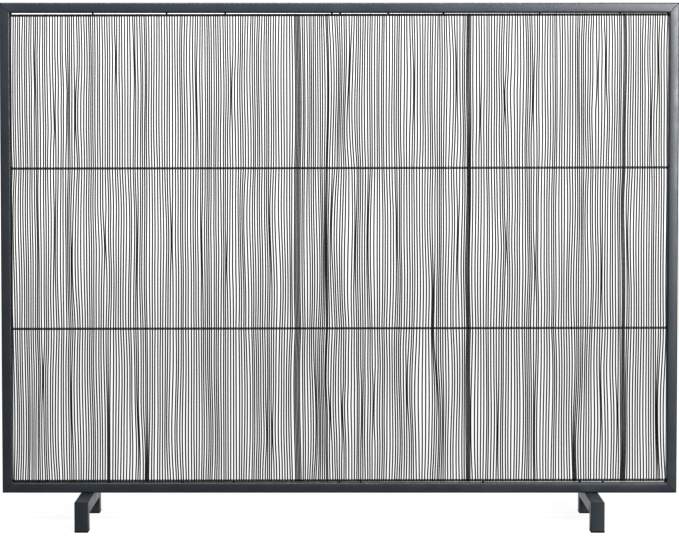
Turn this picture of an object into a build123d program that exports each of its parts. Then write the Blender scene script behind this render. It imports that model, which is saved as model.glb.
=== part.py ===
from build123d import *
import os
import random

os.makedirs("parts", exist_ok=True)

# A free-standing fireplace screen, in millimetres.
# Z is up, X runs along the screen and -Y is the side that faces the room.
# The origin is on the floor, below the middle of the screen.

# ---- frame ----
frame_width = 1016.0
frame_height = 737.0
frame_tube = 15.0
frame_wall = 1.2
frame_edge_radius = 2.0
# the smallest inner corner radius that a square tube is rolled to
least_inner_radius = 0.3

# ---- feet ----
foot_height = 45.0
foot_depth = 170.0
foot_tube = 20.0
foot_wall = 1.5
foot_edge_radius = 1.5
foot_inset = 128.0

# ---- end plugs that the legs stand on ----
glide_flange = 2.0
glide_overhang = 0.2
glide_plug_depth = 11.0
glide_plug_clearance = 0.15
glide_plug_radius = 1.2
glide_plug_wall = 2.0
glide_edge_radius = 1.2

# ---- infill ----
rod_diameter = 3.2
# clear space between an end rod and the frame tube next to it, at the middle of the screen
top_rod_gap = 1.7
bottom_rod_gap = 1.1
# the welded panel sits a little out of level: the right end of each rod is this much higher
panel_rise = 1.8
lower_bay = 230.5
upper_bay = 229.0
wire_diameter = 1.6
wire_pitch = 3.68
wire_pitch_spread = 0.22
wire_pitch_seed = 7
wire_weld_gap = 0.05
wire_side_margin = 1.7
wire_end_length = 1.1
wire_end_spread = 0.5
wire_end_seed = 11
wire_groups = 24
# clear space between the wires of a close bundle
bundle_gap = 0.11
bundle_half_width = 3.0
# places of the close bundles of wires, from -1 at the left upright to 1 at the right one
bundle_places = [-0.126, 0.394, 0.868]

# ---- tack welds between the end rods and the frame ----
tack_frame_radius = 1.9
tack_rod_radius = 1.1
tack_gap = 0.05
# places along the frame, from -1 at the left upright to 1 at the right one
top_tack_places = [-0.749, -0.525, -0.347, -0.023, 0.002, 0.148, 0.316, 0.608, 0.852]
bottom_tack_places = [-0.923, -0.704, -0.481, -0.325, 0.0, 0.065, 0.44, 0.736, 0.807]

# ---- fasteners that hold the feet ----
bolt_diameter = 6.0
bolt_clearance = 0.25
bolt_head_diameter = 10.5
bolt_head_height = 3.3
bolt_head_radius = 1.1
bolt_socket_width = 4.0
bolt_socket_depth = 2.0
bolt_entry = 7.0
washer_diameter = 12.0
washer_thickness = 1.2
nut_body_diameter = 9.0
nut_body_clearance = 0.1
nut_body_length = 8.5
nut_flange_diameter = 12.0
nut_flange_thickness = 1.0
nut_flange_clearance = 0.3
nut_bulge_diameter = 11.0
nut_bulge_length = 2.2
thread_clearance = 0.05
# how far a drilled hole's cutter runs past the tube wall in all
drill_overrun = 1.0

# ---- places that follow from the sizes above ----
frame_bottom = foot_height
frame_top = frame_bottom + frame_height
inner_width = frame_width - 2 * frame_tube
inner_bottom = frame_bottom + frame_tube
inner_top = frame_top - frame_tube
foot_centre = frame_width / 2 - foot_inset
beam_bottom = foot_height - foot_tube
rod_radius = rod_diameter / 2
wire_radius = wire_diameter / 2
wire_y = -(rod_radius + wire_weld_gap + wire_radius)
bundle_pitch = wire_diameter + bundle_gap
tack_y = tack_frame_radius - rod_radius + tack_gap
bottom_rod_z = inner_bottom + bottom_rod_gap + rod_radius
lower_rod_z = bottom_rod_z + lower_bay
top_rod_z = inner_top - top_rod_gap - rod_radius
upper_rod_z = top_rod_z - upper_bay


def rod_height(middle_z, x):
    """Height of a rod's centre line at x; each rod slopes by the panel's rise."""
    return middle_z + panel_rise * x / inner_width


def save(piece, label):
    """Label a finished piece and write its STEP file."""
    piece.part.label = label
    export_step(piece.part, f"parts/{label}.step")


def mitred_tube(section_plane, length, side, wall, edge_radius, mitres, keep):
    """A square tube, centred on its section plane and cut by a mitre plane at each end."""
    inner_side = side - 2 * wall
    inner_radius = max(edge_radius - wall, least_inner_radius)
    with BuildPart() as tube:
        with BuildSketch(section_plane):
            RectangleRounded(side, side, edge_radius)
            RectangleRounded(inner_side, inner_side, inner_radius, mode=Mode.SUBTRACT)
        extrude(amount=length / 2, both=True)
        for mitre in mitres:
            split(bisect_by=mitre, keep=keep)
    return tube


# ---- frame: four mitred tubes ----
def frame_mitre(side, end):
    """Mitre plane at one frame corner; its normal points into the horizontal tube."""
    corner_z = frame_top if end > 0 else frame_bottom
    return Plane(origin=(side * frame_width / 2, 0, corner_z), z_dir=(-side, 0, end))


horizontal_tubes = {"frame_top_tube": 1, "frame_bottom_tube": -1}
for label, end in horizontal_tubes.items():
    centre_z = frame_top - frame_tube / 2 if end > 0 else frame_bottom + frame_tube / 2
    section = Plane(origin=(0, 0, centre_z), z_dir=(1, 0, 0))
    mitres = [frame_mitre(-1, end), frame_mitre(1, end)]
    tube = mitred_tube(
        section, frame_width, frame_tube, frame_wall, frame_edge_radius, mitres, Keep.TOP
    )
    if end < 0:
        with tube:
            # holes in the lower wall for the rivet nuts
            with Locations((-foot_centre, 0, frame_bottom), (foot_centre, 0, frame_bottom)):
                nut_hole_radius = nut_body_diameter / 2 + nut_body_clearance
                Cylinder(nut_hole_radius, 2 * frame_wall + drill_overrun, mode=Mode.SUBTRACT)
    save(tube, label)

upright_tubes = {"frame_left_tube": -1, "frame_right_tube": 1}
for label, side in upright_tubes.items():
    centre_x = side * (frame_width - frame_tube) / 2
    section = Plane(origin=(centre_x, 0, frame_bottom + frame_height / 2), z_dir=(0, 0, 1))
    mitres = [frame_mitre(side, -1), frame_mitre(side, 1)]
    tube = mitred_tube(
        section, frame_height, frame_tube, frame_wall, frame_edge_radius, mitres, Keep.BOTTOM
    )
    save(tube, label)

# ---- four round rods that carry the wires ----
rods = {
    "rod_bottom": bottom_rod_z,
    "rod_lower": lower_rod_z,
    "rod_upper": upper_rod_z,
    "rod_top": top_rod_z,
}
for label, height in rods.items():
    with BuildPart() as rod:
        with BuildSketch(Plane(origin=(0, 0, height), z_dir=(inner_width, 0, panel_rise))):
            Circle(rod_radius)
        extrude(amount=inner_width / 2 + rod_diameter, both=True)
        for side in (-1, 1):
            upright_face = Plane(origin=(side * inner_width / 2, 0, height), z_dir=(-side, 0, 0))
            split(bisect_by=upright_face, keep=Keep.TOP)
    save(rod, label)


# ---- tack welds: short cones from the frame to the nearest rod ----
def tack_welds(places, frame_z, rod_z):
    """Cones that are wide at the frame tube, saddle the rod and stay behind the wires."""
    towards_rod = -1 if rod_z < frame_z else 1
    with BuildPart() as tacks:
        for place in places:
            tack_x = place * inner_width / 2
            tack_end = rod_height(rod_z, tack_x)
            with BuildSketch(Plane(origin=(tack_x, tack_y, frame_z), z_dir=(0, 0, towards_rod))):
                Circle(tack_frame_radius)
            with BuildSketch(Plane(origin=(tack_x, tack_y, tack_end), z_dir=(0, 0, towards_rod))):
                Circle(tack_rod_radius)
            loft()
        with BuildSketch(Plane(origin=(0, 0, rod_z), z_dir=(inner_width, 0, panel_rise))):
            Circle(rod_radius + tack_gap)
        extrude(amount=inner_width / 2, both=True, mode=Mode.SUBTRACT)
    return tacks


save(tack_welds(top_tack_places, inner_top, top_rod_z), "top_tack_welds")
save(tack_welds(bottom_tack_places, inner_bottom, bottom_rod_z), "bottom_tack_welds")


# ---- vertical wires, welded to the front of the rods ----
def wire_places():
    """Wire centres from left to right: uneven steps, and a few close bundles."""
    chance = random.Random(wire_pitch_seed)
    bundle_centres = [share * inner_width / 2 for share in bundle_places]
    first = -inner_width / 2 + wire_side_margin
    steps = []
    place = first
    while place < -first:
        in_bundle = any(abs(place - centre) < bundle_half_width for centre in bundle_centres)
        spread = 1 + wire_pitch_spread * chance.uniform(-1, 1)
        step = bundle_pitch if in_bundle else wire_pitch * spread
        steps.append((step, in_bundle))
        place += step
    bundled = sum(step for step, in_bundle in steps if in_bundle)
    loose = sum(step for step, in_bundle in steps if not in_bundle)
    stretch = (-2 * first - bundled) / loose
    places = [first]
    for step, in_bundle in steps:
        places.append(places[-1] + (step if in_bundle else step * stretch))
    return places


places = wire_places()
end_chance = random.Random(wire_end_seed)
for group in range(wire_groups):
    start = group * len(places) // wire_groups
    stop = (group + 1) * len(places) // wire_groups
    with BuildPart() as wires:
        for place in places[start:stop]:
            foot_end = wire_end_length + end_chance.uniform(-1, 1) * wire_end_spread
            head_end = wire_end_length + end_chance.uniform(-1, 1) * wire_end_spread
            wire_bottom = rod_height(bottom_rod_z, place) - foot_end
            wire_length = rod_height(top_rod_z, place) + head_end - wire_bottom
            with BuildSketch(Plane.XY.offset(wire_bottom)):
                with Locations((place, wire_y)):
                    Circle(wire_radius)
            extrude(amount=wire_length)
    save(wires, f"screen_wires_{group + 1:02d}")


# ---- feet: an inverted U of three mitred tubes, front to back under the frame ----
def foot_mitre(centre_x, end):
    """Mitre plane at one top corner of a foot; its normal points into the beam."""
    return Plane(origin=(centre_x, end * foot_depth / 2, foot_height), z_dir=(0, -end, 1))


feet = {"left": -foot_centre, "right": foot_centre}
for foot_name, centre_x in feet.items():
    beam_section = Plane(origin=(centre_x, 0, foot_height - foot_tube / 2), z_dir=(0, 1, 0))
    beam_mitres = [foot_mitre(centre_x, -1), foot_mitre(centre_x, 1)]
    beam = mitred_tube(
        beam_section, foot_depth, foot_tube, foot_wall, foot_edge_radius, beam_mitres, Keep.TOP
    )
    with beam:
        # clearance for the bolt below, and for the rivet nut's flange above
        drill_depth = 2 * foot_wall + drill_overrun
        with Locations((centre_x, 0, beam_bottom)):
            Cylinder(bolt_diameter / 2 + bolt_clearance, drill_depth, mode=Mode.SUBTRACT)
        with Locations((centre_x, 0, foot_height)):
            flange_hole_radius = nut_flange_diameter / 2 + nut_flange_clearance
            Cylinder(flange_hole_radius, drill_depth, mode=Mode.SUBTRACT)
    save(beam, f"{foot_name}_foot_beam")

    leg_length = foot_height - glide_flange
    leg_ends = {"front": -1, "rear": 1}
    for end_name, end in leg_ends.items():
        leg_y = end * (foot_depth - foot_tube) / 2
        leg_section = Plane(origin=(centre_x, leg_y, glide_flange + leg_length / 2))
        leg = mitred_tube(
            leg_section,
            leg_length,
            foot_tube,
            foot_wall,
            foot_edge_radius,
            [foot_mitre(centre_x, end)],
            Keep.BOTTOM,
        )
        save(leg, f"{foot_name}_foot_{end_name}_leg")

        # plastic end plug: a flange on the floor and a hollow square plug in the tube
        flange_side = foot_tube + 2 * glide_overhang
        plug_side = foot_tube - 2 * foot_wall - 2 * glide_plug_clearance
        plug_inside = plug_side - 2 * glide_plug_wall
        with BuildPart() as glide:
            with BuildSketch(Plane(origin=(centre_x, leg_y, 0))):
                RectangleRounded(flange_side, flange_side, foot_edge_radius + glide_overhang)
            extrude(amount=glide_flange)
            fillet(glide.faces().sort_by(Axis.Z)[0].edges(), glide_edge_radius)
            with BuildSketch(Plane(origin=(centre_x, leg_y, glide_flange))):
                RectangleRounded(plug_side, plug_side, glide_plug_radius)
                Rectangle(plug_inside, plug_inside, mode=Mode.SUBTRACT)
            extrude(amount=glide_plug_depth)
        save(glide, f"{foot_name}_foot_{end_name}_glide")

# ---- fasteners: one bolt, washer and rivet nut at each foot ----
with BuildPart() as washers:
    for centre_x in feet.values():
        with BuildSketch(Plane(origin=(centre_x, 0, beam_bottom - washer_thickness))):
            Circle(washer_diameter / 2)
            Circle(bolt_diameter / 2 + bolt_clearance, mode=Mode.SUBTRACT)
        extrude(amount=washer_thickness)
save(washers, "foot_washers")

head_top = beam_bottom - washer_thickness
shank_length = foot_height + bolt_entry - head_top
with BuildPart() as bolts:
    for centre_x in feet.values():
        with BuildSketch(Plane(origin=(centre_x, 0, head_top - bolt_head_height))):
            Circle(bolt_head_diameter / 2)
        extrude(amount=bolt_head_height)
    heads = bolts.faces().group_by(Axis.Z)[0]
    fillet(heads.edges(), bolt_head_radius)
    for centre_x in feet.values():
        with BuildSketch(Plane(origin=(centre_x, 0, head_top - bolt_head_height))):
            RegularPolygon(bolt_socket_width / 2, 6, major_radius=False)
        extrude(amount=bolt_socket_depth, mode=Mode.SUBTRACT)
        with BuildSketch(Plane(origin=(centre_x, 0, head_top))):
            Circle(bolt_diameter / 2)
        extrude(amount=shank_length)
save(bolts, "foot_bolts")

nut_bore_radius = bolt_diameter / 2 + thread_clearance
with BuildPart() as rivet_nuts:
    for centre_x in feet.values():
        with BuildSketch(Plane(origin=(centre_x, 0, frame_bottom - nut_flange_thickness))):
            Circle(nut_flange_diameter / 2)
        extrude(amount=nut_flange_thickness)
        with BuildSketch(Plane(origin=(centre_x, 0, frame_bottom))):
            Circle(nut_body_diameter / 2)
        extrude(amount=nut_body_length)
        with BuildSketch(Plane(origin=(centre_x, 0, frame_bottom + frame_wall))):
            Circle(nut_bulge_diameter / 2)
        extrude(amount=nut_bulge_length)
        with BuildSketch(Plane(origin=(centre_x, 0, frame_bottom - nut_flange_thickness))):
            Circle(nut_bore_radius)
        extrude(amount=nut_flange_thickness + nut_body_length, mode=Mode.SUBTRACT)
save(rivet_nuts, "foot_rivet_nuts")

print(len(places), "wires")
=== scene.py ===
import math
import random

import bmesh
import bpy
import numpy as np
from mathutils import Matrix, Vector


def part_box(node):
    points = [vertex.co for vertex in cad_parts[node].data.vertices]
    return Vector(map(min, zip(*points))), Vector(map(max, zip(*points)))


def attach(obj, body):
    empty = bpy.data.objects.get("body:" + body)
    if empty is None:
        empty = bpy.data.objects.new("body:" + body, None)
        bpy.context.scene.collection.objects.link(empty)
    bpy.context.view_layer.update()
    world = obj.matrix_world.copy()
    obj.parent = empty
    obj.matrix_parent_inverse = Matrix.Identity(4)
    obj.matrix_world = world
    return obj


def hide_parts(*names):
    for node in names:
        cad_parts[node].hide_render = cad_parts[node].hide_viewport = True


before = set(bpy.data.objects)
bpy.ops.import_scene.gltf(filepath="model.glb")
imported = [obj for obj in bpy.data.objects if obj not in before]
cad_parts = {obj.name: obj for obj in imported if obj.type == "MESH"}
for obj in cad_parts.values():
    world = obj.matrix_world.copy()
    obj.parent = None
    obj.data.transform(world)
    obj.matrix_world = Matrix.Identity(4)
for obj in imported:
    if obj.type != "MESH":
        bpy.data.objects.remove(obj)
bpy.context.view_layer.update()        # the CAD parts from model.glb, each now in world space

mm = 0.001
sameSpot = 0.001 * mm                          # corners nearer than this are one corner
creaseAngles = {"tube": 28, "round": 60}       # in degrees; edges sharper than this stay crisp
theScene = bpy.context.scene
print("frame loaded:", len(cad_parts), "nodes")


def smoothByAngle(mesh, degrees):
    # faces shade smoothly, and edges sharper than this stay crisp
    shape = bmesh.new()
    shape.from_mesh(mesh)
    bmesh.ops.recalc_face_normals(shape, faces=shape.faces)
    limit = math.radians(degrees)
    for edge in shape.edges:
        edge.smooth = not (len(edge.link_faces) == 2 and edge.calc_face_angle(0) > limit)
    for face in shape.faces:
        face.smooth = True
    shape.to_mesh(mesh)
    shape.free()


def addPiece(name, verts, faces, material, replaced=(), crease="round", values=None):
    mesh = bpy.data.meshes.new(name)
    mesh.from_pydata([tuple(v) for v in verts], [], faces)
    mesh.update()
    smoothByAngle(mesh, creaseAngles[crease])
    for label, numbers in (values or {}).items():
        mesh.attributes.new(label, "FLOAT", "POINT").data.foreach_set("value", numbers)
    mesh.materials.append(material)
    piece = bpy.data.objects.new(name, mesh)
    theScene.collection.objects.link(piece)
    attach(piece, "root")
    if replaced:
        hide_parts(*replaced)
    return piece


def solidsOf(nodeName):
    # lowest and highest corner of each separate solid in a CAD node, from left to right
    shape = bmesh.new()
    shape.from_mesh(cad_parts[nodeName].data)
    bmesh.ops.remove_doubles(shape, verts=shape.verts, dist=sameSpot)
    seen = set()
    found = []
    for start in shape.verts:
        if start in seen:
            continue
        seen.add(start)
        pile = [start]
        corners = []
        while pile:
            vert = pile.pop()
            corners.append(tuple(vert.co))
            for edge in vert.link_edges:
                other = edge.other_vert(vert)
                if other not in seen:
                    seen.add(other)
                    pile.append(other)
        points = np.array(corners)
        found.append((Vector(points.min(0)), Vector(points.max(0))))
    shape.free()
    return sorted(found, key=lambda pair: pair[0].x)


def newMaterial(name):
    material = bpy.data.materials.new(name)
    material.use_nodes = True
    tree = material.node_tree
    return material, tree.nodes, tree.links, tree.nodes["Principled BSDF"]


def noiseNode(nodes, links, scale, detail=2.0, stretch=(1, 1, 1)):
    # noise laid out in metres on the object
    coords = nodes.new("ShaderNodeTexCoord")
    mapping = nodes.new("ShaderNodeMapping")
    mapping.inputs["Scale"].default_value = stretch
    noise = nodes.new("ShaderNodeTexNoise")
    noise.inputs["Scale"].default_value = scale
    noise.inputs["Detail"].default_value = detail
    links.new(coords.outputs["Object"], mapping.inputs["Vector"])
    links.new(mapping.outputs["Vector"], noise.inputs["Vector"])
    return noise


def colourRange(nodes, links, source, low, high, lowColour, highColour):
    ramp = nodes.new("ShaderNodeValToRGB")
    ramp.color_ramp.elements[0].position = low
    ramp.color_ramp.elements[1].position = high
    ramp.color_ramp.elements[0].color = (*lowColour, 1)
    ramp.color_ramp.elements[1].color = (*highColour, 1)
    links.new(source, ramp.inputs["Fac"])
    return ramp


def numberRange(nodes, links, source, low, high, fromLow=0.3, fromHigh=0.7):
    spread = nodes.new("ShaderNodeMapRange")
    spread.inputs["From Min"].default_value = fromLow
    spread.inputs["From Max"].default_value = fromHigh
    spread.inputs["To Min"].default_value = low
    spread.inputs["To Max"].default_value = high
    links.new(source, spread.inputs["Value"])
    return spread


def addBump(nodes, links, shader, source, height):
    bump = nodes.new("ShaderNodeBump")
    bump.inputs["Distance"].default_value = height
    links.new(source, bump.inputs["Height"])
    links.new(bump.outputs["Normal"], shader.inputs["Normal"])


tubePaint = {
    "dark": (0.034, 0.042, 0.049),
    "light": (0.043, 0.052, 0.060),
    "cloudScale": 7.0,             # slow drift of the powder's colour, per metre
    "cloudRange": (0.3, 0.7),      # noise values at which it is darkest and lightest
    "roughness": (0.30, 0.42),
    "coat": 0.25,                  # the gloss that shows at a slant
    "coatRoughness": 0.34,
    "sheenScale": 38.0,
    "peelScale": 520.0,            # orange peel
    "peelHeight": 0.022 * mm,
    "rubbedAndHighlight": (0.14, 0.15, 0.16),  # thin paint on the tube's corners, and a painted highlight along them
    "rubbedAndHighlightShare": 0.35,
    "rubbedAndHighlightScale": 140.0,
    "rubbedAndHighlightRange": (0.48, 0.72),   # noise values at which it starts and is full
}


def makeTubePaint():
    material, nodes, links, shader = newMaterial("charcoalPowderCoat")
    cloud = noiseNode(nodes, links, tubePaint["cloudScale"], detail=5.0)
    colour = colourRange(
        nodes, links, cloud.outputs["Fac"], *tubePaint["cloudRange"],
        tubePaint["dark"], tubePaint["light"],
    )
    # the tube's corners turn lighter in patches: partly paint rubbed thin, partly a painted
    # highlight along the edges
    corner = nodes.new("ShaderNodeAttribute")
    corner.attribute_name = "tubeCorner"
    patches = noiseNode(nodes, links, tubePaint["rubbedAndHighlightScale"], detail=4.0)
    rubAndHighlightPatches = numberRange(
        nodes, links, patches.outputs["Fac"], 0.0, tubePaint["rubbedAndHighlightShare"],
        *tubePaint["rubbedAndHighlightRange"],
    )
    rubAndHighlightMask = nodes.new("ShaderNodeMath")
    rubAndHighlightMask.operation = "MULTIPLY"
    links.new(corner.outputs["Fac"], rubAndHighlightMask.inputs[0])
    links.new(rubAndHighlightPatches.outputs["Result"], rubAndHighlightMask.inputs[1])
    mix = nodes.new("ShaderNodeMix")
    mix.data_type = "RGBA"
    mix.inputs["B"].default_value = (*tubePaint["rubbedAndHighlight"], 1)
    links.new(rubAndHighlightMask.outputs["Value"], mix.inputs["Factor"])
    links.new(colour.outputs["Color"], mix.inputs["A"])
    links.new(mix.outputs["Result"], shader.inputs["Base Color"])
    shader.inputs["Coat Weight"].default_value = tubePaint["coat"]
    shader.inputs["Coat Roughness"].default_value = tubePaint["coatRoughness"]
    sheen = noiseNode(nodes, links, tubePaint["sheenScale"], detail=3.0)
    rough = numberRange(nodes, links, sheen.outputs["Fac"], *tubePaint["roughness"])
    links.new(rough.outputs["Result"], shader.inputs["Roughness"])
    peel = noiseNode(nodes, links, tubePaint["peelScale"])
    addBump(nodes, links, shader, peel.outputs["Fac"], tubePaint["peelHeight"])
    return material


wirePaint = {
    "dark": (0.012, 0.013, 0.014),
    "light": (0.040, 0.041, 0.042),
    "roughness": (0.38, 0.54),
    "specular": 0.20,
    "drawScale": 400.0,            # die marks that run along the wire
    "drawStretch": (4, 4, 0.1),
    "drawHeight": 0.01 * mm,
}


def makeWirePaint():
    material, nodes, links, shader = newMaterial("wirePowderCoat")
    tone = nodes.new("ShaderNodeAttribute")
    tone.attribute_name = "wireTone"
    colour = colourRange(
        nodes, links, tone.outputs["Fac"], 0.0, 1.0, wirePaint["dark"], wirePaint["light"]
    )
    links.new(colour.outputs["Color"], shader.inputs["Base Color"])
    shader.inputs["Specular IOR Level"].default_value = wirePaint["specular"]
    marks = noiseNode(nodes, links, wirePaint["drawScale"], stretch=wirePaint["drawStretch"])
    rough = numberRange(nodes, links, marks.outputs["Fac"], *wirePaint["roughness"])
    links.new(rough.outputs["Result"], shader.inputs["Roughness"])
    addBump(nodes, links, shader, marks.outputs["Fac"], wirePaint["drawHeight"])
    return material


# finishes that are one clouded colour with one grain
grainRange = (0.35, 0.65)          # noise values at which they are darkest and lightest
plainFinishes = {
    "rodPowderCoat": {
        "dark": (0.040, 0.047, 0.053), "light": (0.085, 0.094, 0.102), "roughness": (0.28, 0.42),
        "scale": 260.0, "height": 0.03 * mm, "metallic": 0.0, "specular": 0.6,
    },
    # near-black welds: painted shade, standing for the dark dots along the rods and the dark tacks
    # and rod ends
    "weldPaintedShade": {
        "dark": (0.003, 0.003, 0.004), "light": (0.010, 0.011, 0.012), "roughness": (0.60, 0.80),
        "scale": 260.0, "height": 0.06 * mm, "metallic": 0.0, "specular": 0.12,
    },
    "mouldedPlastic": {
        "dark": (0.013, 0.014, 0.015), "light": (0.026, 0.027, 0.029), "roughness": (0.50, 0.72),
        "scale": 1500.0, "height": 0.03 * mm, "metallic": 0.0, "specular": 0.5,
    },
    "zincPlate": {
        "dark": (0.33, 0.34, 0.35), "light": (0.56, 0.57, 0.60), "roughness": (0.25, 0.50),
        "scale": 320.0, "height": 0.01 * mm, "metallic": 1.0, "specular": 0.5,
    },
}


def makePlainFinish(name):
    look = plainFinishes[name]
    material, nodes, links, shader = newMaterial(name)
    grain = noiseNode(nodes, links, look["scale"], detail=4.0)
    colour = colourRange(
        nodes, links, grain.outputs["Fac"], *grainRange, look["dark"], look["light"]
    )
    links.new(colour.outputs["Color"], shader.inputs["Base Color"])
    shader.inputs["Metallic"].default_value = look["metallic"]
    shader.inputs["Specular IOR Level"].default_value = look["specular"]
    rough = numberRange(nodes, links, grain.outputs["Fac"], *look["roughness"])
    links.new(rough.outputs["Result"], shader.inputs["Roughness"])
    addBump(nodes, links, shader, grain.outputs["Fac"], look["height"])
    return material


tubeFinish = makeTubePaint()
wireFinish = makeWirePaint()
rodFinish = makePlainFinish("rodPowderCoat")
weldShadeFinish = makePlainFinish("weldPaintedShade")
plasticFinish = makePlainFinish("mouldedPlastic")
zincFinish = makePlainFinish("zincPlate")
print("finishes made")


tubeShape = {
    "cornerSteps": 6,
    "ringsPerMetre": 30,
    "fewestRings": 4,
    "mitreGroove": 0.45 * mm,      # what a ground weld leaves along a mitre
    "frameWall": 1.2 * mm,
    "frameRadius": 2.0 * mm,
    "footWall": 1.5 * mm,
    "footRadius": 1.5 * mm,
    "leastInnerRadius": 0.3 * mm,
}


def roundedSquare(side, radius):
    # points round the section, each with how near it is to the middle of a corner
    reach = side / 2 - radius
    steps = tubeShape["cornerSteps"]
    points = []
    for quarter, (signU, signV) in enumerate(((1, 1), (-1, 1), (-1, -1), (1, -1))):
        for step in range(steps + 1):
            turn = math.radians(90 * (quarter + step / steps))
            u = signU * reach + radius * math.cos(turn)
            v = signV * reach + radius * math.sin(turn)
            points.append((u, v, math.sin(math.pi * step / steps)))
    return points


def mitredTube(name, nodeName, start, end, outward, side, wall, radius, mitred):
    # start and end are the ends of the centre line at the full outside length; outward is the
    # side of the section that keeps that length, and mitred says which ends are cut at 45 degrees
    start = Vector(start)
    along = (Vector(end) - start).normalized()
    length = (Vector(end) - start).length
    outward = Vector(outward)
    across = along.cross(outward)
    groove = tubeShape["mitreGroove"]
    rings = max(tubeShape["fewestRings"], int(length * tubeShape["ringsPerMetre"]))
    verts = []
    corners = []
    faces = []

    def ring(section, share, shift=0.0):
        # one loop round the tube; share 0 is its start and 1 its end
        first = len(verts)
        for u, v, corner in section:
            lead = (side / 2 - u) if mitred[0] else 0.0
            trail = (side / 2 - u) if mitred[1] else 0.0
            place = lead + (length - lead - trail) * share + shift
            verts.append(start + along * place + outward * u + across * v)
            corners.append(corner)
        return list(range(first, len(verts)))

    def join(loopA, loopB):
        for i in range(len(loopA)):
            j = (i + 1) % len(loopA)
            faces.append((loopA[i], loopA[j], loopB[j], loopB[i]))

    outer = roundedSquare(side, radius)
    shrunk = roundedSquare(side - 2 * groove, radius - groove)
    inner = roundedSquare(side - 2 * wall, max(radius - wall, tubeShape["leastInnerRadius"]))
    loops = [ring(shrunk, 0), ring(outer, 0, groove)]
    loops += [ring(outer, i / rings) for i in range(1, rings)]
    loops += [ring(outer, 1, -groove), ring(shrunk, 1)]
    loops += [ring(inner, 1), ring(inner, 0)]
    for loopA, loopB in zip(loops, loops[1:] + loops[:1]):
        join(loopA, loopB)
    return addPiece(
        name, verts, faces, tubeFinish, (nodeName,), crease="tube",
        values={"tubeCorner": corners},
    )


drill = {
    "segments": 40,
    "overrun": 1.0 * mm,
    "nutBody": 4.6 * mm,           # hole radii: for the rivet nut's body and flange, and the bolt
    "nutFlange": 6.3 * mm,
    "bolt": 3.25 * mm,
}


def cutRound(piece, centre, radius, wall):
    # drills one upright round hole through one wall
    shape = bmesh.new()
    bmesh.ops.create_cone(
        shape, cap_ends=True, segments=drill["segments"], radius1=radius, radius2=radius,
        depth=2 * wall + drill["overrun"],
    )
    bmesh.ops.translate(shape, verts=shape.verts, vec=centre)
    mesh = bpy.data.meshes.new("drill")
    shape.to_mesh(mesh)
    shape.free()
    cutter = bpy.data.objects.new("drill", mesh)
    theScene.collection.objects.link(cutter)
    cut = piece.modifiers.new("hole", "BOOLEAN")
    cut.operation = "DIFFERENCE"
    cut.solver = "EXACT"
    cut.object = cutter
    graph = bpy.context.evaluated_depsgraph_get()
    drilled = bpy.data.meshes.new_from_object(piece.evaluated_get(graph))
    piece.modifiers.clear()
    piece.data = drilled
    bpy.data.objects.remove(cutter)
    smoothByAngle(piece.data, creaseAngles["tube"])


def buildFrameTubes():
    low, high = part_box("frame_top_tube")
    side = high.z - low.z
    half = side / 2
    left, right, top = low.x, high.x, high.z
    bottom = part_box("frame_bottom_tube")[0].z
    wall = tubeShape["frameWall"]
    runs = [
        ("frameTopTube", "frame_top_tube", (left, 0, top - half), (right, 0, top - half), (0, 0, 1)),
        ("frameBottomTube", "frame_bottom_tube", (left, 0, bottom + half),
         (right, 0, bottom + half), (0, 0, -1)),
        ("frameLeftTube", "frame_left_tube", (left + half, 0, bottom), (left + half, 0, top),
         (-1, 0, 0)),
        ("frameRightTube", "frame_right_tube", (right - half, 0, bottom), (right - half, 0, top),
         (1, 0, 0)),
    ]
    made = {}
    for name, nodeName, start, end, outward in runs:
        made[name] = mitredTube(
            name, nodeName, start, end, outward, side, wall, tubeShape["frameRadius"], (True, True)
        )
    for nutLow, nutHigh in solidsOf("foot_rivet_nuts"):
        centre = Vector(((nutLow.x + nutHigh.x) / 2, 0, bottom))
        cutRound(made["frameBottomTube"], centre, drill["nutBody"], wall)


def buildFeet():
    wall = tubeShape["footWall"]
    radius = tubeShape["footRadius"]
    for sideName in ("left", "right"):
        low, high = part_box(f"{sideName}_foot_beam")
        side = high.x - low.x
        middle = (low.x + high.x) / 2
        beam = mitredTube(
            f"{sideName}FootBeam", f"{sideName}_foot_beam", (middle, low.y, high.z - side / 2),
            (middle, high.y, high.z - side / 2), (0, 0, 1), side, wall, radius, (True, True),
        )
        cutRound(beam, Vector((middle, 0, low.z)), drill["bolt"], wall)
        cutRound(beam, Vector((middle, 0, high.z)), drill["nutFlange"], wall)
        for endName, towards in (("front", -1), ("rear", 1)):
            nodeName = f"{sideName}_foot_{endName}_leg"
            legLow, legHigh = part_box(nodeName)
            legY = (legLow.y + legHigh.y) / 2
            mitredTube(
                f"{sideName}Foot{endName.title()}Leg", nodeName, (middle, legY, legHigh.z),
                (middle, legY, legLow.z), (0, towards, 0), side, wall, radius, (True, False),
            )


buildFrameTubes()
buildFeet()
print("tubes made")


rodNames = ["rod_bottom", "rod_lower", "rod_upper", "rod_top"]
rodEndReach = 1.0 * mm             # corners this near to a rod's tip belong to that end


def readRods():
    # each rod's two end points and its radius; the panel hangs a little out of level
    rods = {}
    for name in rodNames:
        points = np.array([v.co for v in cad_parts[name].data.vertices])
        ends = []
        for side in (-1, 1):
            edge = (side * points[:, 0]).max() - rodEndReach
            near = points[side * points[:, 0] > edge]
            middleZ = (near[:, 2].min() + near[:, 2].max()) / 2
            ends.append((side * (edge + rodEndReach), middleZ))
        rods[name] = {"ends": ends, "radius": (points[:, 1].max() - points[:, 1].min()) / 2}
    return rods


rods = readRods()


def rodHeightAt(name, x):
    (xLeft, zLeft), (xRight, zRight) = rods[name]["ends"]
    return zLeft + (zRight - zLeft) * (x - xLeft) / (xRight - xLeft)


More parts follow.
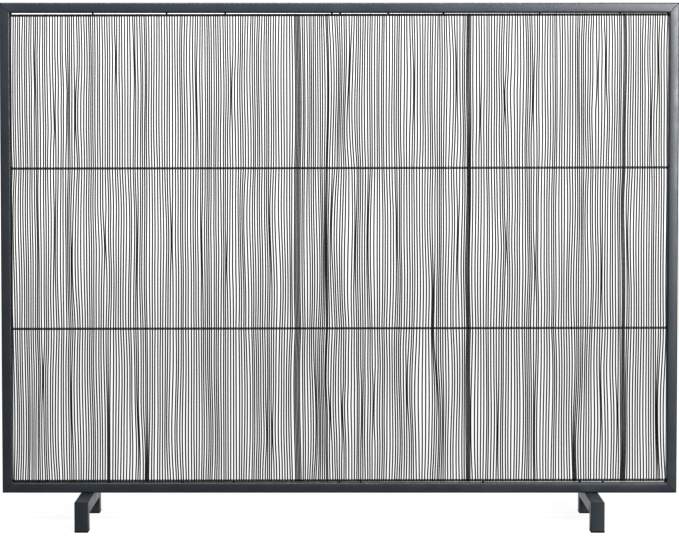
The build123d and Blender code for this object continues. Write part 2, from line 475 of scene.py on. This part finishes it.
wireShape = {
    "sides": 10,
    "endSize": 0.84,               # cut ends round over to this share of the radius
    "spansPerBay": 8,              # a wire's bends are set at the ends of these spans
    "stepsPerSpan": 2,
    "shortSpan": 5 * mm,           # a span shorter than this is a single step
    "seed": 20,
    "rodJitter": 0.17 * mm,        # sideways, where a wire meets a rod
    "sharedBow": 1.5 * mm,         # sideways, halfway between two rods, together with neighbours
    "sharedReach": 26 * mm,
    "nearBow": 0.36 * mm,          # the same over a shorter reach
    "nearReach": 9 * mm,
    "ownBow": 0.19 * mm,           # and each wire by itself
    "sharedWave": 0.6 * mm,
    "depthBow": 0.35 * mm,
    "touchGap": 0.02 * mm,         # clear space between wires that touch
    "relaxRounds": 120,            # how often neighbours that would cross push each other apart
    "pinchHold": 1.25,             # above 1, pinched wires touch over a length, not at a point
    "pinchSharing": 8,             # neighbours on each side that move along
    "pairMiddle": (0.3, 0.7),      # where in its bay a pair may be
    "pairReach": (0.07, 0.17),
    "pairDrift": 1.5,              # how far a pair's top may lean to either side, in mm
    # bunches: x in mm, middle and half length (0 is the bottom rod and 1 the top rod), number of
    # wires, gap between them in mm, how far their top leans to the right in mm
    "pinches": [
        (-64, 0.5, 1.6, 5, 0.45, -2.0), (192, 0.5, 1.6, 3, 0.12, -1.0),
        (427, 0.5, 1.6, 3, 0.12, 0.0), (427, 0.06, 0.40, 5, 0.05, 0.0),
        (-18, 0.5, 1.2, 2, 0.0, -2.0), (-348, 0.06, 0.30, 3, 0.05, 1.5),
        (-291, 0.0, 0.20, 4, 0.05, 1.0), (355, 0.0, 0.26, 4, 0.08, -3.0),
        (140, 0.36, 0.20, 3, 0.05, 0.0), (481, 0.12, 0.22, 3, 0.05, -4.0),
        (-408, 0.80, 0.13, 3, 0.10, 1.0), (293, 0.10, 0.26, 2, 0.0, 0.0),
    ],
    # pairs, x in mm: in the bottom, the middle and the top bay
    "pairs": [
        (-445, -402, -306, -112, -100, -39, -12, 6, 33, 52, 102, 144, 200, 239, 395, 416),
        (-454, -427, -400, -352, -304, -254, -206, -170, -104, -9, 25, 43, 85, 180, 249, 293,
         392, 436),
        (-456, -426, -397, -333, -309, -212, -163, 16, 112, 174, 209, 249, 290, 385, 398, 467,
         479),
    ],
}


def sharedBends(chance, places, reach, size):
    # sideways bends that neighbours share: random values every so often, joined smoothly
    start = places[0] - reach * chance.random()
    values = [chance.gauss(0, size) for _ in range(int((places[-1] - start) / reach) + 3)]
    bends = []
    for place in places:
        step, part = divmod((place - start) / reach, 1)
        part = part * part * (3 - 2 * part)
        bends.append(values[int(step)] * (1 - part) + values[int(step) + 1] * part)
    return np.array(bends)


def findWires():
    wires = []
    for nodeName in sorted(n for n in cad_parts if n.startswith("screen_wires_")):
        for low, high in solidsOf(nodeName):
            wires.append({
                "node": nodeName, "x": (low.x + high.x) / 2, "y": (low.y + high.y) / 2,
                "foot": low.z, "head": high.z, "radius": (high.y - low.y) / 2,
            })
    return wires


def allPinches(chance):
    # every place where wires lean together: x in mm, middle and half length as shares of the
    # height, number of wires, gap between them in mm, and how far their top leans to the right
    found = [tuple(pinch) for pinch in wireShape["pinches"]]
    for bay, spots in enumerate(wireShape["pairs"]):
        for x in spots:
            middle = (bay + chance.uniform(*wireShape["pairMiddle"])) / len(wireShape["pairs"])
            reach = chance.uniform(*wireShape["pairReach"])
            drift = chance.uniform(-wireShape["pairDrift"], wireShape["pairDrift"])
            found.append((x, middle, reach, 2, 0.0, drift))
    return found


def pinchTogether(places, xs, closest, x, middle, reach, number, gap, drift):
    # the wires nearest to x close up, and the neighbours share the room that they leave
    members = np.sort(np.argsort(np.abs(xs - x))[:number])
    fan = (np.arange(number) - (number - 1) / 2) * (closest + gap)
    sharing = wireShape["pinchSharing"]
    for level, row in enumerate(places):
        away = (level / (len(places) - 1) - middle) / reach
        if abs(away) >= 1:
            continue
        pull = min(1.0, wireShape["pinchHold"] * math.cos(math.pi / 2 * away) ** 2)
        shift = (row[members].mean() + drift * away + fan - row[members]) * pull
        row[members] += shift
        for step in range(1, sharing + 1):
            fade = 1 - step / (sharing + 1)
            if members[0] >= step:
                row[members[0] - step] += shift[0] * fade
            if members[-1] + step < len(row):
                row[members[-1] + step] += shift[-1] * fade


def bendWires(wires, chance):
    # sideways place of every wire at every level, from the bottom rod to the top one
    xs = np.array([wire["x"] for wire in wires])
    count = len(wires)
    bays = len(rodNames) - 1
    spans = wireShape["spansPerBay"]
    levels = bays * spans + 1
    jitter = [
        np.array([chance.gauss(0, wireShape["rodJitter"]) for _ in wires]) for _ in rodNames
    ]
    places = np.zeros((levels, count))
    for bay in range(bays):
        bow = sharedBends(chance, xs, wireShape["sharedReach"], wireShape["sharedBow"])
        bow += sharedBends(chance, xs, wireShape["nearReach"], wireShape["nearBow"])
        bow += np.array([chance.gauss(0, wireShape["ownBow"]) for _ in wires])
        wave = sharedBends(chance, xs, wireShape["sharedReach"], wireShape["sharedWave"])
        for step in range(spans + 1):
            t = step / spans
            straight = xs + jitter[bay] * (1 - t) + jitter[bay + 1] * t
            swing = bow * math.sin(math.pi * t) + wave * math.sin(2 * math.pi * t)
            places[bay * spans + step] = straight + swing
    closest = 2 * wires[0]["radius"] + wireShape["touchGap"]
    for x, middle, reach, number, gap, drift in allPinches(chance):
        pinchTogether(places, xs, closest, x * mm, middle, reach, number, gap * mm, drift * mm)
    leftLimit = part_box("frame_left_tube")[1].x + closest / 2
    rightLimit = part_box("frame_right_tube")[0].x - closest / 2
    for row in places:
        # neighbours push each other apart where they would cross
        for _ in range(wireShape["relaxRounds"]):
            push = np.clip(closest - np.diff(row), 0, None) / 2
            row[:-1] -= push
            row[1:] += push
            row[0] = max(row[0], leftLimit)
            row[-1] = min(row[-1], rightLimit)
    return places


def routeWires(wires, places, chance):
    # the knots that each wire passes, from its foot to its head
    spans = wireShape["spansPerBay"]
    for i, wire in enumerate(wires):
        rodHeights = [rodHeightAt(name, wire["x"]) for name in rodNames]
        knots = [(places[0, i], wire["y"], wire["foot"])]
        for bay in range(len(rodNames) - 1):
            belly = chance.gauss(0, wireShape["depthBow"])
            for step in range(spans):
                t = step / spans
                z = rodHeights[bay] + (rodHeights[bay + 1] - rodHeights[bay]) * t
                y = wire["y"] + belly * math.sin(math.pi * t)
                knots.append((places[bay * spans + step, i], y, z))
        knots.append((places[-1, i], wire["y"], rodHeights[-1]))
        knots.append((places[-1, i], wire["y"], wire["head"]))
        wire["knots"] = np.array(knots)
        wire["atRods"] = [places[bay * spans, i] for bay in range(len(rodNames))]
        wire["tone"] = chance.random()


def smoothRun(knots):
    # a smooth curve through all the knots, each piece a cubic over its height
    slopes = np.gradient(knots, knots[:, 2], axis=0)
    points = [knots[0]]
    for a in range(len(knots) - 1):
        length = knots[a + 1, 2] - knots[a, 2]
        steps = 1 if length < wireShape["shortSpan"] else wireShape["stepsPerSpan"]
        for step in range(1, steps + 1):
            t = step / steps
            fromHere = 2 * t**3 - 3 * t**2 + 1
            leaving = (t**3 - 2 * t**2 + t) * length
            arriving = (t**3 - t**2) * length
            points.append(
                fromHere * knots[a] + (1 - fromHere) * knots[a + 1]
                + leaving * slopes[a] + arriving * slopes[a + 1]
            )
    return points


def buildWires(wires):
    sides = wireShape["sides"]
    circle = [
        (math.cos(2 * math.pi * k / sides), math.sin(2 * math.pi * k / sides)) for k in range(sides)
    ]
    groups = {}
    for wire in wires:
        groups.setdefault(wire["node"], []).append(wire)
    for nodeName, members in groups.items():
        verts = []
        faces = []
        tones = []
        for wire in members:
            first = len(verts)
            run = smoothRun(wire["knots"])
            last = len(run) - 1
            for k, (x, y, z) in enumerate(run):
                size = wire["radius"] * (wireShape["endSize"] if k in (0, last) else 1.0)
                verts += [(x + size * c, y + size * s, z) for c, s in circle]
            for k in range(last):
                for s in range(sides):
                    a = first + k * sides + s
                    b = first + k * sides + (s + 1) % sides
                    faces.append((a, b, b + sides, a + sides))
            faces.append(tuple(first + s for s in reversed(range(sides))))
            faces.append(tuple(first + last * sides + s for s in range(sides)))
            tones += [wire["tone"]] * (len(verts) - first)
        addPiece(
            "wires" + nodeName[-2:], verts, faces, wireFinish, (nodeName,),
            values={"wireTone": tones},
        )


wireChance = random.Random(wireShape["seed"])
wires = findWires()
wirePlaces = bendWires(wires, wireChance)
routeWires(wires, wirePlaces, wireChance)
buildWires(wires)
print("wires made:", len(wires))


weldShape = {
    "seed": 31,
    "skin": 0.14,                          # how uneven a blob is, as a share of its size
    "crossing": (1.05, 0.7, 2.05),         # flash where a wire crosses a rod, half sizes in mm; coloured near-black as painted shade
    "crossingSpread": (0.9, 1.1),          # how their sizes vary
    "rodEnd": (0.9, 0.85, 0.85),
    "rodEndBlobs": 7,
    "rodEndInset": 0.4 * mm,
    "corner": (1.5, 1.1, 1.5),             # along the inner corners of the frame
    "cornerReach": 5.0,                    # to each side of the middle, in mm
    "cornerInset": 0.5 * mm,
    "bend": (1.1, 1.4, 1.4),               # under the bends of the feet
    "bendReach": 8.0,
    "bendInset": 0.4 * mm,
    "beadStep": 1.25,                      # from blob to blob along corners and bends, in mm
    "tackWaist": 0.72,                     # a tack's narrowest part, as a share of its taper
    "tackWaistEnd": 1.15,                  # above 1, the waist ends before the rod
    "tackTaper": 0.42,                     # how much narrower it is at the rod
    "tackSkin": 0.5,                       # how uneven it is beside a blob
    "tackSwell": (-1, 0.4),
    "tackRings": 6,
    "tackSides": 12,
}
weldChance = random.Random(weldShape["seed"])


def addBlob(verts, faces, centre, halfSizes, rings=4, around=8):
    # a small blob of weld metal with an uneven skin
    def point(up, turn, swell):
        x = halfSizes[0] * math.cos(up) * math.cos(turn)
        y = halfSizes[1] * math.cos(up) * math.sin(turn)
        z = halfSizes[2] * math.sin(up)
        return centre + Vector((x, y, z)) * swell * mm

    first = len(verts)
    verts.append(point(-math.pi / 2, 0, 1))
    for ring in range(1, rings):
        for step in range(around):
            swell = 1 + weldShape["skin"] * weldChance.uniform(-1, 1)
            up = math.pi * (ring / rings - 0.5)
            verts.append(point(up, 2 * math.pi * step / around, swell))
    verts.append(point(math.pi / 2, 0, 1))
    last = len(verts) - 1
    for step in range(around):
        after = (step + 1) % around
        faces.append((first, first + 1 + after, first + 1 + step))
        for ring in range(rings - 2):
            a = first + 1 + ring * around
            faces.append((a + step, a + after, a + after + around, a + step + around))
        top = last - around
        faces.append((last, top + step, top + after))


def buildCrossingWelds():
    for number, name in enumerate(rodNames):
        verts = []
        faces = []
        for wire in wires:
            x = wire["atRods"][number]
            size = weldChance.uniform(*weldShape["crossingSpread"])
            halfSizes = [part * size for part in weldShape["crossing"]]
            centre = Vector((x, -rods[name]["radius"] / 2, rodHeightAt(name, x)))
            addBlob(verts, faces, centre, halfSizes)
        # these blobs carry near-black painted shade beside the wires
        addPiece(name.replace("_", "") + "Welds", verts, faces, weldShadeFinish)


def buildRodEndWelds():
    verts = []
    faces = []
    inset = weldShape["rodEndInset"]
    for name in rodNames:
        for x, z in rods[name]["ends"]:
            inward = -inset if x > 0 else inset
            for step in range(weldShape["rodEndBlobs"]):
                turn = 2 * math.pi * step / weldShape["rodEndBlobs"]
                radius = rods[name]["radius"]
                centre = Vector((x + inward, radius * math.cos(turn), z + radius * math.sin(turn)))
                addBlob(verts, faces, centre, weldShape["rodEnd"])
    # the rod ends' welds carry the same near-black painted shade
    addPiece("rodEndWelds", verts, faces, weldShadeFinish)


def beadPlaces(reach):
    # even steps along a bead, from -reach to reach or just short of it
    step = weldShape["beadStep"]
    return [(-reach + bead * step) * mm for bead in range(int(2 * reach / step) + 1)]


def buildCornerWelds():
    verts = []
    faces = []
    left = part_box("frame_left_tube")[1].x
    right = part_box("frame_right_tube")[0].x
    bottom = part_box("frame_bottom_tube")[1].z
    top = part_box("frame_top_tube")[0].z
    inset = weldShape["cornerInset"]
    for x in (left + inset, right - inset):
        for z in (bottom + inset, top - inset):
            for y in beadPlaces(weldShape["cornerReach"]):
                addBlob(verts, faces, Vector((x, y, z)), weldShape["corner"])
    addPiece("frameCornerWelds", verts, faces, tubeFinish)


def buildFootWelds():
    verts = []
    faces = []
    inset = weldShape["bendInset"]
    for sideName in ("left", "right"):
        low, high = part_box(f"{sideName}_foot_beam")
        side = high.x - low.x
        middle = (low.x + high.x) / 2
        for y in (low.y + side + inset, high.y - side - inset):
            for offset in beadPlaces(weldShape["bendReach"]):
                addBlob(verts, faces, Vector((middle + offset, y, low.z - inset)), weldShape["bend"])
    addPiece("footBendWelds", verts, faces, tubeFinish)


def buildTacks(name, nodeName, wideAtTop):
    # each tack is wide at the frame tube, draws in, and spreads a little over the rod
    verts = []
    faces = []
    rings = weldShape["tackRings"]
    sides = weldShape["tackSides"]
    for low, high in solidsOf(nodeName):
        wide = (high.x - low.x) / 2
        centreX = (low.x + high.x) / 2
        centreY = (low.y + high.y) / 2
        first = len(verts)
        for ring in range(rings + 1):
            t = ring / rings                   # 0 at the frame tube, 1 at the rod
            z = high.z - (high.z - low.z) * t if wideAtTop else low.z + (high.z - low.z) * t
            waist = math.sin(math.pi * min(1, t * weldShape["tackWaistEnd"]))
            draw = 1 - (1 - weldShape["tackWaist"]) * waist
            radius = wide * (1 - weldShape["tackTaper"] * t) * draw
            for step in range(sides):
                turn = 2 * math.pi * step / sides
                uneven = weldChance.uniform(*weldShape["tackSwell"])
                swell = 1 + weldShape["tackSkin"] * weldShape["skin"] * uneven
                verts.append((
                    centreX + radius * swell * math.cos(turn),
                    centreY + radius * swell * math.sin(turn),
                    z,
                ))
        for ring in range(rings):
            for step in range(sides):
                a = first + ring * sides + step
                b = first + ring * sides + (step + 1) % sides
                faces.append((a, b, b + sides, a + sides))
        faces.append(tuple(first + s for s in range(sides)))
        faces.append(tuple(first + rings * sides + s for s in range(sides)))
    # the tacks carry the same near-black painted shade
    addPiece(name, verts, faces, weldShadeFinish, (nodeName,))


buildCrossingWelds()
buildRodEndWelds()
buildCornerWelds()
buildFootWelds()
buildTacks("topTacks", "top_tack_welds", True)
buildTacks("bottomTacks", "bottom_tack_welds", False)
print("welds made")


# CAD parts that keep their shape and get a finish
keptFinishes = {
    "rod_": rodFinish, "_glide": plasticFinish, "foot_bolts": zincFinish,
    "foot_washers": zincFinish, "foot_rivet_nuts": zincFinish,
}


def finishKeptParts():
    for nodeName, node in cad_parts.items():
        for part, material in keptFinishes.items():
            if part in nodeName:
                node.data.materials.clear()
                node.data.materials.append(material)


finishKeptParts()
print("kept parts finished")


studio = {
    "floorColour": (0.06, 0.06, 0.06),
    "floorRoughness": 0.9,
    "floorRadius": 12.0,
    "floorSides": 96,
    "floorSeen": (0.92, 1.06),     # glow that keeps the floor pale, near the screen and far from it
    "seenFade": (1.0, 7.5),        # where those two hold, in metres from the strip named below
    "floorGlow": 0.14,             # glow that falls on the screen from below
    "floorBehind": 1.05,           # the same just behind the screen, where its sides reflect it
    "behindMiddle": 0.45,          # how far back that strip lies, in metres, and how it fades
    "behindFade": (0.3, 0.6),
    "light": 1.12,                 # what the white room sends onto the screen
    "seenAtHorizon": 1.12,         # what shows behind it
    "seenHigher": 1.26,
    "seenRise": (0.0, 0.06),       # upward slope of the view at which those two hold
    "contrast": 0.60,              # the display's gamma
}

softLights = [
    {"name": "softboxRight", "place": (1.6, -3.1, 1.2), "aim": (0.3, 0, 0.5),
     "size": (1.1, 1.6), "power": 155},
    {"name": "softboxAbove", "place": (-0.1, -0.9, 1.75), "aim": (-0.1, 0, 0.75),
     "size": (1.2, 0.4), "power": 30},
]


def buildFloor():
    sides = studio["floorSides"]
    radius = studio["floorRadius"]
    verts = [(0, 0, 0)]
    for step in range(sides):
        turn = 2 * math.pi * step / sides
        verts.append((radius * math.cos(turn), radius * math.sin(turn), 0))
    faces = [(0, 1 + s, 1 + (s + 1) % sides) for s in range(sides)]
    mesh = bpy.data.meshes.new("studioFloor")
    mesh.from_pydata(verts, [], faces)
    floor = bpy.data.objects.new("studioFloor", mesh)
    theScene.collection.objects.link(floor)
    material, nodes, links, shader = newMaterial("studioFloor")
    shader.inputs["Base Color"].default_value = (*studio["floorColour"], 1)
    shader.inputs["Roughness"].default_value = studio["floorRoughness"]
    shader.inputs["Specular IOR Level"].default_value = 0.0
    shader.inputs["Emission Color"].default_value = (1, 1, 1, 1)
    coords = nodes.new("ShaderNodeTexCoord")
    split = nodes.new("ShaderNodeSeparateXYZ")
    links.new(coords.outputs["Object"], split.inputs["Vector"])
    away = nodes.new("ShaderNodeMath")
    away.operation = "ABSOLUTE"
    shifted = nodes.new("ShaderNodeMath")
    shifted.operation = "SUBTRACT"
    shifted.inputs[1].default_value = studio["behindMiddle"]
    links.new(split.outputs["Y"], shifted.inputs[0])
    links.new(shifted.outputs["Value"], away.inputs[0])
    reflected = numberRange(
        nodes, links, away.outputs["Value"], studio["floorBehind"], studio["floorGlow"],
        *studio["behindFade"],
    )
    pale = numberRange(
        nodes, links, away.outputs["Value"], *studio["floorSeen"], *studio["seenFade"]
    )
    path = nodes.new("ShaderNodeLightPath")
    glow = nodes.new("ShaderNodeMix")
    links.new(path.outputs["Is Camera Ray"], glow.inputs["Factor"])
    links.new(reflected.outputs["Result"], glow.inputs["A"])
    links.new(pale.outputs["Result"], glow.inputs["B"])
    links.new(glow.outputs["Result"], shader.inputs["Emission Strength"])
    mesh.materials.append(material)


def buildRoom():
    # an even white room, with the light it sends set apart from what shows behind the screen
    world = bpy.data.worlds.new("studioRoom")
    world.use_nodes = True
    nodes, links = world.node_tree.nodes, world.node_tree.links
    lit = nodes["Background"]
    lit.inputs["Strength"].default_value = studio["light"]
    lit.inputs["Color"].default_value = (1, 1, 1, 1)
    seen = nodes.new("ShaderNodeBackground")
    coords = nodes.new("ShaderNodeTexCoord")
    split = nodes.new("ShaderNodeSeparateXYZ")
    links.new(coords.outputs["Generated"], split.inputs["Vector"])
    rise = numberRange(
        nodes, links, split.outputs["Z"], studio["seenAtHorizon"], studio["seenHigher"],
        *studio["seenRise"],
    )
    links.new(rise.outputs["Result"], seen.inputs["Strength"])
    seen.inputs["Color"].default_value = (1, 1, 1, 1)
    path = nodes.new("ShaderNodeLightPath")
    mix = nodes.new("ShaderNodeMixShader")
    links.new(path.outputs["Is Camera Ray"], mix.inputs["Fac"])
    links.new(lit.outputs["Background"], mix.inputs[1])
    links.new(seen.outputs["Background"], mix.inputs[2])
    links.new(mix.outputs["Shader"], nodes["World Output"].inputs["Surface"])
    theScene.world = world


def buildSoftLight(look):
    lamp = bpy.data.lights.new(look["name"], "AREA")
    lamp.shape = "RECTANGLE"
    lamp.size, lamp.size_y = look["size"]
    lamp.energy = look["power"]
    holder = bpy.data.objects.new(look["name"], lamp)
    holder.location = look["place"]
    towards = Vector(look["aim"]) - Vector(look["place"])
    holder.rotation_euler = towards.to_track_quat("-Z", "Y").to_euler()
    theScene.collection.objects.link(holder)


cameraSet = {
    "sensor": 36,
    "lens": 110.45,
    "distance": 3.127,
    "height": 0.616,
    "tiltDown": 2.4,
    "shiftDown": 0.10,
}


def buildCamera():
    lens = bpy.data.cameras.new("viewCamera")
    lens.sensor_width = cameraSet["sensor"]
    lens.lens = cameraSet["lens"]
    lens.shift_y = -cameraSet["shiftDown"]
    holder = bpy.data.objects.new("viewCamera", lens)
    holder.location = (0, -cameraSet["distance"], cameraSet["height"])
    holder.rotation_euler = (math.radians(90 - cameraSet["tiltDown"]), 0, 0)
    theScene.collection.objects.link(holder)
    theScene.camera = holder


buildFloor()
buildRoom()
for look in softLights:
    buildSoftLight(look)
buildCamera()
theScene.view_settings.view_transform = "Standard"
theScene.view_settings.gamma = studio["contrast"]
print("floor, room, lights and camera made")
